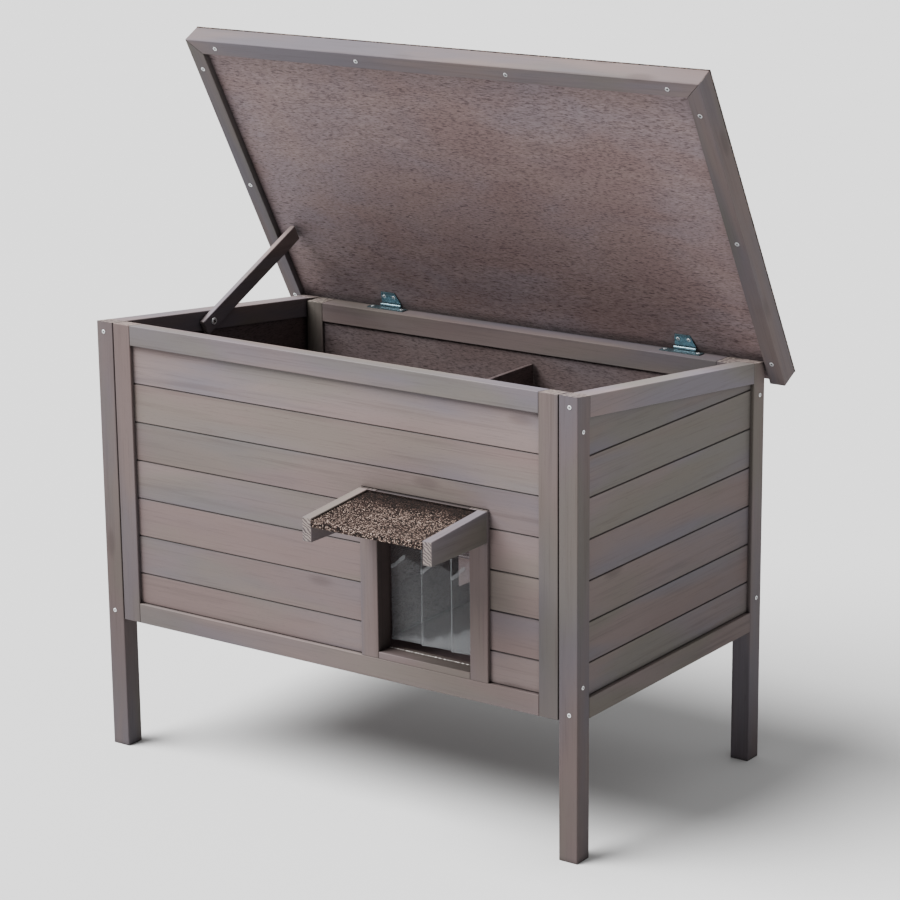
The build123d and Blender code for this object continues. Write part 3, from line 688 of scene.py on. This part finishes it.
class NESTINGBOX_OT_stain_wood(bpy.types.Operator):
    """Stain the frame, the boards, the linings and the lid"""

    bl_idname = "nesting_box.stain_wood"
    bl_label = "Stain the wood"

    def execute(self, context):
        random.seed(11)
        for node, (direction, tone, warmth) in FRAME_WOOD.items():
            shift = self.anywhere()
            paint(node, stained_wood(f"stain_{node}", direction, shift, tone, warmth))
        lean = -lid_angle()
        for node, (direction, tone, warmth) in LID_WOOD.items():
            shift = self.anywhere()
            paint(node, stained_wood(f"stain_{node}", direction, shift, tone, warmth, lean=lean))
        for node, (direction, tone) in PLYWOOD.items():
            shift = self.anywhere()
            paint(node, stained_plywood(f"stain_{node}", direction, shift, tone=tone))
        paint("lid_panel", stained_plywood("stain_lid_panel", "x", (1.3, 0.4, 2.2), lean=lean, tone=1.72))
        paint("lid_board", stained_plywood("stain_lid_board", "x", (4.3, 1.4, 0.2), lean=lean, tone=1.1))
        self.stain_doorway()
        self.stain_boards()
        return {"FINISHED"}

    def anywhere(self):
        """A start for a piece's grain, so that no two pieces are alike."""
        return [round(random.uniform(-5, 5), 3) for _ in range(3)]

    def stain_doorway(self):
        """The door's frame, with painted shade on the faces that turn up, on the left post's face turned
        inwards and all over the head under the awning, and the sill's edge rubbed pale.
        """
        paint("door_post_left", stained_wood("stain_door_post_left", "z", (2.2, 1.9, 0.3), 0.8, 0.5,
                                             shaded_toward=(1.0, 0.0, 1.0)))
        paint("door_post_right", stained_wood("stain_door_post_right", "z", (4.2, 2.9, 1.3), 0.88, 0.9,
                                              shaded_toward=UPWARD))
        # The head's low tone is painted shade, for its place under the awning.
        paint("door_head", stained_wood("stain_door_head", "x", (1.2, 3.9, 4.3), 0.4, 0.5, shaded_toward=UPWARD))
        rubbed_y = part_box("door_sill")[0].y + RUBBED_LINE
        paint("door_sill", stained_wood("stain_door_sill", "x", (0.2, 4.9, 3.3), 0.95, 0.6, shaded_toward=UPWARD,
                                        worn=rubbed_y))

    def stain_boards(self):
        """One stain for each wall, its boards told apart by their height."""
        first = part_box("front_plank_1")
        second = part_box("front_plank_2")
        top = first[1].z
        pitch = first[0].z - second[0].z
        front = stained_wood("stain_front_boards", "x", (2.0, 0.7, 5.1), 1.0, 0.85, rows=(top, pitch))
        for row in range(1, BOARD_ROWS + 1):
            paint(f"front_plank_{row}", front)
        for node, (direction, start, tone) in SIDE_BOARDS.items():
            shift = (start, 3.3, 1.1)
            paint(node, stained_wood(f"stain_{node}", direction, shift, tone, 0.4, rows=(top, pitch)))


# ------------------------------------------------------------------ strip curtain
# For each strip: how far up it is creased, as a share of its drop, how far it curls and how far it twists.
STRIPS = {
    "left": (0.65, 1.0 * MM, 4.5 * MM),
    "middle": (0.64, 1.3 * MM, 5.0 * MM),
    "right": (0.65, 1.1 * MM, 5.0 * MM),
}
HELD_SHARE = 0.3            # share of a strip's drop over which the batten's hold on it fades
CREASE_CLIMB = 15 * MM      # rise of a crease from one edge of its strip to the other
CREASE_REACH = 6.5 * MM     # half width of a crease


class NESTINGBOX_OT_hang_curtain(bpy.types.Operator):
    """Hang the clear plastic strips, each with the bends it came out of its packing with"""

    bl_idname = "nesting_box.hang_curtain"
    bl_label = "Hang the strip curtain"

    def execute(self, context):
        fittings = context.scene.nesting_box.fittings
        low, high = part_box("curtain_strip_left")
        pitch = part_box("curtain_strip_middle")[0].x - low.x
        material = clear_strip("clear_pvc", low.x, pitch, low.z, high.z)
        for name, (crease_share, curl, twist) in STRIPS.items():
            self.hang(name, crease_share, curl, twist, fittings, material)
        return {"FINISHED"}

    def hang(self, name, crease_share, curl, twist, fittings, material):
        """One strip, creased across its upper part and curling forward at its foot."""
        node = f"curtain_strip_{name}"
        low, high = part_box(node)
        middle_y = (low.y + high.y) / 2
        width = high.x - low.x
        drop = high.z - low.z
        crease_z = low.z + crease_share * drop

        def where(across, up):
            """A point of the strip: it hangs straight from the batten and twists its right edge inwards."""
            z = low.z + up * drop
            freed = min(1.0, (1 - up) / HELD_SHARE)
            turn = freed * twist / width
            x = low.x + width / 2 + (across - 0.5) * width * math.sqrt(1 - turn ** 2)
            crease_here = crease_z + (across - 0.35) * CREASE_CLIMB
            crease = fittings.strip_crease * math.exp(-((z - crease_here) / CREASE_REACH) ** 2)
            bow = curl * (1 - (2 * across - 1) ** 2) * freed
            y = middle_y + (across - 0.5) * width * turn - crease * 0.4 * freed + bow
            return Vector((x, y, z))

        strip = sheet_grid(f"{node}_sheet", 26, 92, where)
        modified(strip, "SOLIDIFY", thickness=fittings.strip_thickness, offset=0.0)
        finished(strip, material, 40.0)
        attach(strip, f"strip_{name}")
        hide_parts(node)


# ------------------------------------------------------------------ roofing felt
FELT_LAYER = 2.0 * MM       # room left for the felt on the awning's deck
FELT_THICKNESS = 1.5 * MM
FELT_UPSTAND = 3.4 * MM     # how far it turns up against the wall
FELT_FOLD = 2.2 * MM        # radius of its fold over the deck's front edge
FELT_TURN_DOWN = 8.0 * MM   # how far it hangs over that edge, fold included
FELT_SIDE_GAP = 0.3 * MM    # between the felt and each cheek


class NESTINGBOX_OT_lay_felt(bpy.types.Operator):
    """Lay the mineral felt on the awning, folded over its front edge, and finish the lid's felt"""

    bl_idname = "nesting_box.lay_felt"
    bl_label = "Lay the roofing felt"

    def execute(self, context):
        fittings = context.scene.nesting_box.fittings
        low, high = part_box("awning_felt")
        deck_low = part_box("awning_deck")[0]
        wall = Vector((0, high.y, high.z - FELT_LAYER / 2))
        nose_y = low.y + FELT_LAYER / 2
        slope = (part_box("awning_cheek_left")[1].z - self.cheek_front_top()) / (high.y - deck_low.y)
        top_run = high.y - nose_y
        flat = top_run - FELT_FOLD
        corner = FELT_FOLD * math.pi / 2
        random.seed(5)
        grit = fittings.felt_grit
        width = high.x - low.x - 2 * FELT_SIDE_GAP
        length = FELT_UPSTAND + flat + corner + FELT_TURN_DOWN - FELT_FOLD

        def line(reach):
            """A point of the felt's middle surface at a distance along it from the top of its upstand."""
            reach -= FELT_UPSTAND
            if reach < 0:
                return wall.y - FELT_LAYER / 2, wall.z - reach
            if reach <= flat:
                return wall.y - max(reach, FELT_LAYER / 2), wall.z - slope * reach
            turn = (reach - flat) / FELT_FOLD
            if turn <= math.pi / 2:
                return (wall.y - flat - FELT_FOLD * math.sin(turn),
                        wall.z - slope * flat - FELT_FOLD * (1 - math.cos(turn)))
            return nose_y, wall.z - slope * flat - FELT_FOLD - (reach - flat - corner)

        def where(across, along):
            """A point of the felt, a little uneven, with ragged side edges."""
            y, z = line(along * length)
            sway = math.sin(across * 9.0 + along * 4.0) * math.sin(along * 5.0) * 0.35 * MM
            edge = min(across, 1 - across)
            ragged = random.uniform(-1, 1) * (0.25 * MM if edge < 0.004 else 0.0)
            x = low.x + FELT_SIDE_GAP + across * width + (ragged if edge > 0 else 0.0)
            return Vector((x, y, z + sway + random.uniform(-grit, grit) * 0.3))

        felt = sheet_grid("awning_felt_sheet", 180, 136, where)
        modified(felt, "SOLIDIFY", thickness=FELT_THICKNESS, offset=0.0)
        # Where the painted shade beside the wall ends.
        shade_band_end = low.y + 0.45 * (high.y - low.y)
        finished(felt, mineral_felt("awning_mineral_felt", (high.y, shade_band_end)), 75.0)
        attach(felt, "house")
        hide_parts("awning_felt")
        paint("lid_felt", mineral_felt("lid_mineral_felt"))
        return {"FINISHED"}

    def cheek_front_top(self):
        """Height of a cheek's top edge at its front end."""
        points = np.array([point.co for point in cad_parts["awning_cheek_left"].data.vertices])
        front = points[points[:, 1] < points[:, 1].min() + 1.5 * MM]
        return float(front[:, 2].max())


# ------------------------------------------------------------------ screws and hinges
def cross_head(radius, height, finishes):
    """A pan-headed screw with a cross recess, its head's underside at the origin, facing up. finishes are the
    plating and the dark of the recess."""
    deselect()
    bpy.ops.mesh.primitive_cylinder_add(vertices=32, radius=radius, depth=height, location=(0, 0, height / 2))
    head = settle(named("screw_head"))
    top_edges = [edge.index for edge in head.data.edges
                 if all(head.data.vertices[corner].co.z > height * 0.99 for corner in edge.vertices)]
    bpy.ops.object.mode_set(mode="EDIT")
    bpy.ops.mesh.select_mode(type="EDGE")
    bpy.ops.mesh.select_all(action="DESELECT")
    bpy.ops.object.mode_set(mode="OBJECT")
    for edge in top_edges:
        head.data.edges[edge].select = True
    bpy.ops.object.mode_set(mode="EDIT")
    bpy.ops.mesh.bevel(offset=height * 0.6, segments=3)
    bpy.ops.object.mode_set(mode="OBJECT")
    arms = []
    for turn in (0, math.pi / 2):
        deselect()
        bpy.ops.mesh.primitive_cube_add(size=1.0, location=(0, 0, height), rotation=(0, 0, turn),
                                        scale=(radius * 1.1, radius * 0.4, height * 1.3))
        arms.append(settle(named("arm")))
    for arm in arms:
        modified(head, "BOOLEAN", object=arm, operation="DIFFERENCE", solver="EXACT")
        bpy.data.objects.remove(arm)
    for finish in finishes:
        head.data.materials.append(finish)
    # Painted shade: the faces inside the cross recess take the dark second finish.
    for face in head.data.polygons:
        inside = math.hypot(face.center.x, face.center.y) < radius * 0.6
        if inside and height * 0.2 < face.center.z < height * 0.8:
            face.material_index = 1
    deselect()
    bpy.ops.mesh.primitive_cylinder_add(vertices=16, radius=radius * 0.5, depth=height * 3,
                                        location=(0, 0, -height * 1.5 + height * 0.01))
    shank = settle(named("shank"))
    shank.data.materials.append(finishes[0])
    return joined([head, shank], "screw_pattern")


def fit_screws(name, node, body, finishes, turn_seed, direction=None):
    """Screws with cross recesses in place of a CAD node's plain ones, each turned its own way."""
    random.seed(turn_seed)
    screws = screws_of(node, direction)
    radius, height = screws[0][2:]
    pattern = cross_head(radius, height, finishes)
    copies = []
    for place, out, *_size in screws:
        turn = Matrix.Rotation(random.uniform(0, math.pi), 4, "Z")
        facing = out.to_track_quat("Z", "Y").to_matrix().to_4x4()
        copies.append(copied(pattern, Matrix.Translation(place) @ facing @ turn))
    bpy.data.objects.remove(pattern)
    group = outward(joined(copies, name))
    smoothed(group, 35.0)
    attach(group, body)
    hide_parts(node)


class NESTINGBOX_OT_fit_screws(bpy.types.Operator):
    """Drive the screws of the frame, the lid and the hinges, and plate the hinges"""

    bl_idname = "nesting_box.fit_screws"
    bl_label = "Fit screws and hinges"

    def execute(self, context):
        lean = lid_angle()
        under_lid = (0.0, -math.cos(lean), -math.sin(lean))
        fittings = context.scene.nesting_box.fittings
        zinc = (bright_zinc("zinc_screws", fittings.screw_zinc, 0.45),
                bright_zinc("zinc_screw_recess", fittings.recess_shade, 0.2))
        fit_screws("frame_screw_heads", "frame_screws", "house", zinc, 3)
        fit_screws("lid_screw_heads", "lid_screws", "lid", zinc, 4, under_lid)
        fit_screws("house_hinge_screw_heads", "hinge_screws_house", "house", zinc, 5, UPWARD)
        fit_screws("lid_hinge_screw_heads", "hinge_screws_lid", "lid", zinc, 6, under_lid)
        fit_screws("stay_pivot_head", "stay_pivot_screw", "house", zinc, 7, (1, 0, 0))
        plate = bright_zinc("zinc_plate", fittings.zinc, 0.8)
        for node in ("hinge_base_leaves", "hinge_lid_leaves", "hinge_pins"):
            paint(node, plate)
        return {"FINISHED"}


# ------------------------------------------------------------------ stage
class NESTINGBOX_OT_set_stage(bpy.types.Operator):
    """Set the pale floor, the soft studio light and the camera"""

    bl_idname = "nesting_box.set_stage"
    bl_label = "Set the stage"

    def execute(self, context):
        stage = context.scene.nesting_box.stage
        self.floor(stage)
        self.light(stage)
        self.surroundings(stage)
        self.camera(stage)
        return {"FINISHED"}

    def floor(self, stage):
        """A plain pale floor, large enough to have no visible edge."""
        deselect()
        bpy.ops.mesh.primitive_circle_add(vertices=96, radius=40.0, fill_type="NGON")
        floor = named("studio_floor")
        finish = Finish("studio_floor")
        mottle = finish.noise(finish.stretched(finish.place, (2.0, 2.0, 2.0)), 2.0)
        finish.set(Base_Color=finish.shade(stage.floor_tone, finish.between(mottle, 0.2, 0.8, 0.99, 1.0)),
                   Roughness=0.9)
        floor.data.materials.append(finish.material)
        floor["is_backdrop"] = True

    def light(self, stage):
        """One very large, distant soft light above the front left."""
        data = bpy.data.lights.new("key_light", "SUN")
        data.angle = stage.key_softness
        data.energy = stage.key_strength
        light = bpy.data.objects.new("key_light", data)
        bpy.context.scene.collection.objects.link(light)
        light.location = Vector(stage.key_bearing) * 5.0
        light.rotation_euler = Vector(stage.key_bearing).to_track_quat("Z", "Y").to_euler()

    def surroundings(self, stage):
        """Plain white surroundings."""
        world = bpy.data.worlds.new("plain_white")
        world.use_nodes = True
        background = world.node_tree.nodes["Background"]
        background.inputs["Color"].default_value = (1.0, 1.0, 1.0, 1.0)
        background.inputs["Strength"].default_value = stage.sky
        bpy.context.scene.world = world

    def camera(self, stage):
        """A camera on the stated bearing, height and distance."""
        bearing, height = stage.azimuth, stage.elevation
        back = Vector((math.sin(bearing) * math.cos(height), -math.cos(bearing) * math.cos(height),
                       math.sin(height)))
        data = bpy.data.cameras.new("camera")
        data.lens = stage.lens
        data.sensor_width = 36.0
        camera = bpy.data.objects.new("camera", data)
        bpy.context.scene.collection.objects.link(camera)
        camera.location = Vector(stage.aim) + back * stage.distance
        upright = (-back).to_track_quat("-Z", "Y")
        camera.rotation_mode = "QUATERNION"
        camera.rotation_quaternion = upright @ Matrix.Rotation(stage.roll, 3, "Z").to_quaternion()
        bpy.context.scene.camera = camera


class NESTINGBOX_PT_steps(bpy.types.Panel):
    """Steps for finishing the nesting box"""

    bl_idname = "NESTINGBOX_PT_steps"
    bl_label = "Nesting box"
    bl_space_type = "VIEW_3D"
    bl_region_type = "UI"
    bl_category = "Nesting Box"

    def draw(self, context):
        for step in STEPS:
            self.layout.operator(step.bl_idname)


STEPS = (
    NESTINGBOX_OT_set_stage,
    NESTINGBOX_OT_stain_wood,
    NESTINGBOX_OT_hang_curtain,
    NESTINGBOX_OT_lay_felt,
    NESTINGBOX_OT_fit_screws,
)
CLASSES = (WoodSettings, FittingSettings, StageSettings, BoxSettings, *STEPS, NESTINGBOX_PT_steps)


def register():
    for part in CLASSES:
        bpy.utils.register_class(part)
    bpy.types.Scene.nesting_box = bpy.props.PointerProperty(type=BoxSettings)


def unregister():
    del bpy.types.Scene.nesting_box
    for part in reversed(CLASSES):
        bpy.utils.unregister_class(part)


def corners(bounds):
    """A box's two corners as plain lists."""
    return [list(corner) for corner in bounds]


def main():
    """Register the add-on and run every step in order."""
    register()
    cad_bounds = corners(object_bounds())
    bpy.ops.nesting_box.set_stage()
    bpy.ops.nesting_box.stain_wood()
    bpy.ops.nesting_box.hang_curtain()
    bpy.ops.nesting_box.lay_felt()
    bpy.ops.nesting_box.fit_screws()
    {"cad": cad_bounds, "visual": corners(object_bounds())}


if __name__ == "__main__":
    main()
